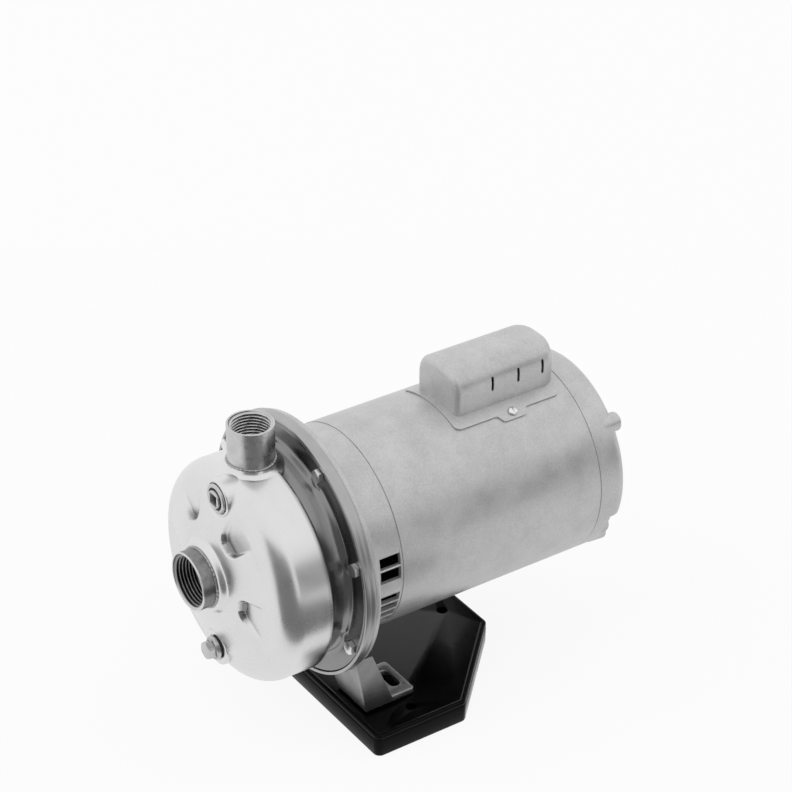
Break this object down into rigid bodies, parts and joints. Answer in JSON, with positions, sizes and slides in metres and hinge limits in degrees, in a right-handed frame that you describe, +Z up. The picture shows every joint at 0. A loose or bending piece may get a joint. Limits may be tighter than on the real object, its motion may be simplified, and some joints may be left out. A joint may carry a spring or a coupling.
{
  "type": "centrifugal pump",
  "caption": "Close-coupled centrifugal pump: pressed volute casing with front suction and top discharge ports, foot-mounted adapter, vented electric motor and black base.",
  "frame": {"origin": "middle of the base's underside, under the shaft line", "axes": "+Z up; +Y along the shaft from the suction port towards the motor's rear end; +X completes a right-handed frame"},
  "size_m": [0.22, 0.3655, 0.2646],
  "materials": {
    "base_pad": "moulded, glossy black",
    "adapter_bracket": "cast, machined rim",
    "volute_casing": "pressed stainless steel, satin",
    "suction_coupling": "turned stainless steel",
    "discharge_coupling": "turned stainless steel",
    "casing_gasket": "matt",
    "seal_plate": "pressed stainless steel",
    "seal_seat_boot": "matt",
    "seal_seat": "lapped",
    "seal_head": "carbon",
    "seal_spring": "bright wire",
    "eye_support": "spun",
    "wear_ring": "turned",
    "impeller": "investment cast",
    "impeller_nut": "turned",
    "priming_plug": "turned",
    "drain_plug": "turned",
    "priming_plug_seal": "fibre ring",
    "drain_plug_seal": "fibre ring",
    "front_end_bell": "cast",
    "motor_shell": "light grey satin paint",
    "rear_end_bell": "cast",
    "wave_spring": "spring steel",
    "shaft": "ground",
    "slinger": "matt",
    "rotor_core": "laminated steel",
    "front_end_ring": "cast",
    "rear_end_ring": "cast",
    "cooling_fan": "moulded",
    "stator_core": "laminated steel",
    "front_winding": "varnished copper wire",
    "rear_winding": "varnished copper wire",
    "start_switch": "laminated board",
    "governor_plate": "pressed",
    "governor_collar": "moulded",
    "capacitor_cover": "light grey satin paint",
    "capacitor": "moulded case",
    "front_bearing_outer": "ground bearing steel",
    "front_bearing_inner": "ground bearing steel",
    "front_bearing_balls": "ground bearing steel",
    "rear_bearing_outer": "ground bearing steel",
    "rear_bearing_inner": "ground bearing steel",
    "rear_bearing_balls": "ground bearing steel",
    "casing_bolt_1": "bright zinc plate",
    "casing_bolt_2": "bright zinc plate",
    "casing_bolt_3": "bright zinc plate",
    "casing_bolt_4": "bright zinc plate",
    "casing_bolt_5": "bright zinc plate",
    "casing_bolt_6": "bright zinc plate",
    "casing_bolt_7": "bright zinc plate",
    "casing_bolt_8": "bright zinc plate",
    "through_bolt_1": "zinc plate",
    "through_bolt_2": "zinc plate",
    "through_bolt_3": "zinc plate",
    "through_bolt_4": "zinc plate",
    "cover_screw_1": "zinc plate",
    "cover_screw_2": "zinc plate",
    "foot_screw_1": "zinc plate",
    "foot_screw_2": "zinc plate"
  },
  "bodies": {
    "pump": {"base_pad": "base_pad", "adapter_bracket": "adapter_bracket", "volute_casing": "volute_casing", "suction_coupling": "suction_coupling", "discharge_coupling": "discharge_coupling", "casing_gasket": "casing_gasket", "seal_plate": "seal_plate", "seal_seat_boot": "seal_seat_boot", "seal_seat": "seal_seat", "eye_support": "eye_support", "wear_ring": "wear_ring", "front_end_bell": "front_end_bell", "motor_shell": "motor_shell", "rear_end_bell": "rear_end_bell", "wave_spring": "wave_spring", "stator_core": "stator_core", "front_winding": "front_winding", "rear_winding": "rear_winding", "start_switch": "start_switch", "capacitor_cover": "capacitor_cover", "capacitor": "capacitor", "front_bearing_outer": "front_bearing_outer", "rear_bearing_outer": "rear_bearing_outer", "casing_bolt_1": "casing_bolt_1", "casing_bolt_2": "casing_bolt_2", "casing_bolt_3": "casing_bolt_3", "casing_bolt_4": "casing_bolt_4", "casing_bolt_5": "casing_bolt_5", "casing_bolt_6": "casing_bolt_6", "casing_bolt_7": "casing_bolt_7", "casing_bolt_8": "casing_bolt_8", "through_bolt_1": "through_bolt_1", "through_bolt_2": "through_bolt_2", "through_bolt_3": "through_bolt_3", "through_bolt_4": "through_bolt_4", "cover_screw_1": "cover_screw_1", "cover_screw_2": "cover_screw_2", "foot_screw_1": "foot_screw_1", "foot_screw_2": "foot_screw_2"},
    "rotor": {"shaft": "shaft", "rotor_core": "rotor_core", "front_end_ring": "front_end_ring", "rear_end_ring": "rear_end_ring", "impeller": "impeller", "impeller_nut": "impeller_nut", "seal_head": "seal_head", "seal_spring": "seal_spring", "slinger": "slinger", "front_bearing_inner": "front_bearing_inner", "rear_bearing_inner": "rear_bearing_inner", "cooling_fan": "cooling_fan", "governor_plate": "governor_plate"},
    "front_ball_set": {"front_bearing_balls": "front_bearing_balls"},
    "rear_ball_set": {"rear_bearing_balls": "rear_bearing_balls"},
    "governor_collar": {"governor_collar": "governor_collar"},
    "priming_seal": {"priming_plug_seal": "priming_plug_seal"},
    "priming_plug": {"priming_plug": "priming_plug"},
    "drain_seal": {"drain_plug_seal": "drain_plug_seal"},
    "drain_plug": {"drain_plug": "drain_plug"}
  },
  "joints": [
    {"name": "rotor_spin", "type": "hinge", "parent": "pump", "child": "rotor", "pos_m": [0, 0, 0.1425], "axis": [0, 1, 0], "continuous": true},
    {"name": "front_balls_roll", "type": "hinge", "parent": "pump", "child": "front_ball_set", "pos_m": [0, -0.066, 0.1425], "axis": [0, 1, 0], "continuous": true},
    {"name": "rear_balls_roll", "type": "hinge", "parent": "pump", "child": "rear_ball_set", "pos_m": [0, 0.1615, 0.1425], "axis": [0, 1, 0], "continuous": true},
    {"name": "governor_slide", "type": "slide", "parent": "rotor", "child": "governor_collar", "axis": [0, -1, 0], "range_m": [0, 0.004]},
    {"name": "priming_plug_travel", "type": "slide", "parent": "pump", "child": "priming_seal", "axis": [0, -1, 0], "range_m": [0, 0.008]},
    {"name": "priming_plug_turn", "type": "hinge", "parent": "priming_seal", "child": "priming_plug", "pos_m": [0.007, -0.154, 0.2135], "axis": [0, -1, 0], "range_deg": [0, 2040.4]},
    {"name": "drain_plug_travel", "type": "slide", "parent": "pump", "child": "drain_seal", "axis": [0, -1, 0], "range_m": [0, 0.008]},
    {"name": "drain_plug_turn", "type": "hinge", "parent": "drain_seal", "child": "drain_plug", "pos_m": [0.0018, -0.1574, 0.073], "axis": [0, -1, 0], "range_deg": [0, 2040.4]}
  ],
  "couplings": [
    {"joint": "front_balls_roll", "follows": "rotor_spin", "ratio": 0.38421},
    {"joint": "rear_balls_roll", "follows": "rotor_spin", "ratio": 0.38421},
    {"joint": "priming_plug_travel", "follows": "priming_plug_turn", "m_per_rad": 0.00022459},
    {"joint": "drain_plug_travel", "follows": "drain_plug_turn", "m_per_rad": 0.00022459}
  ]
}
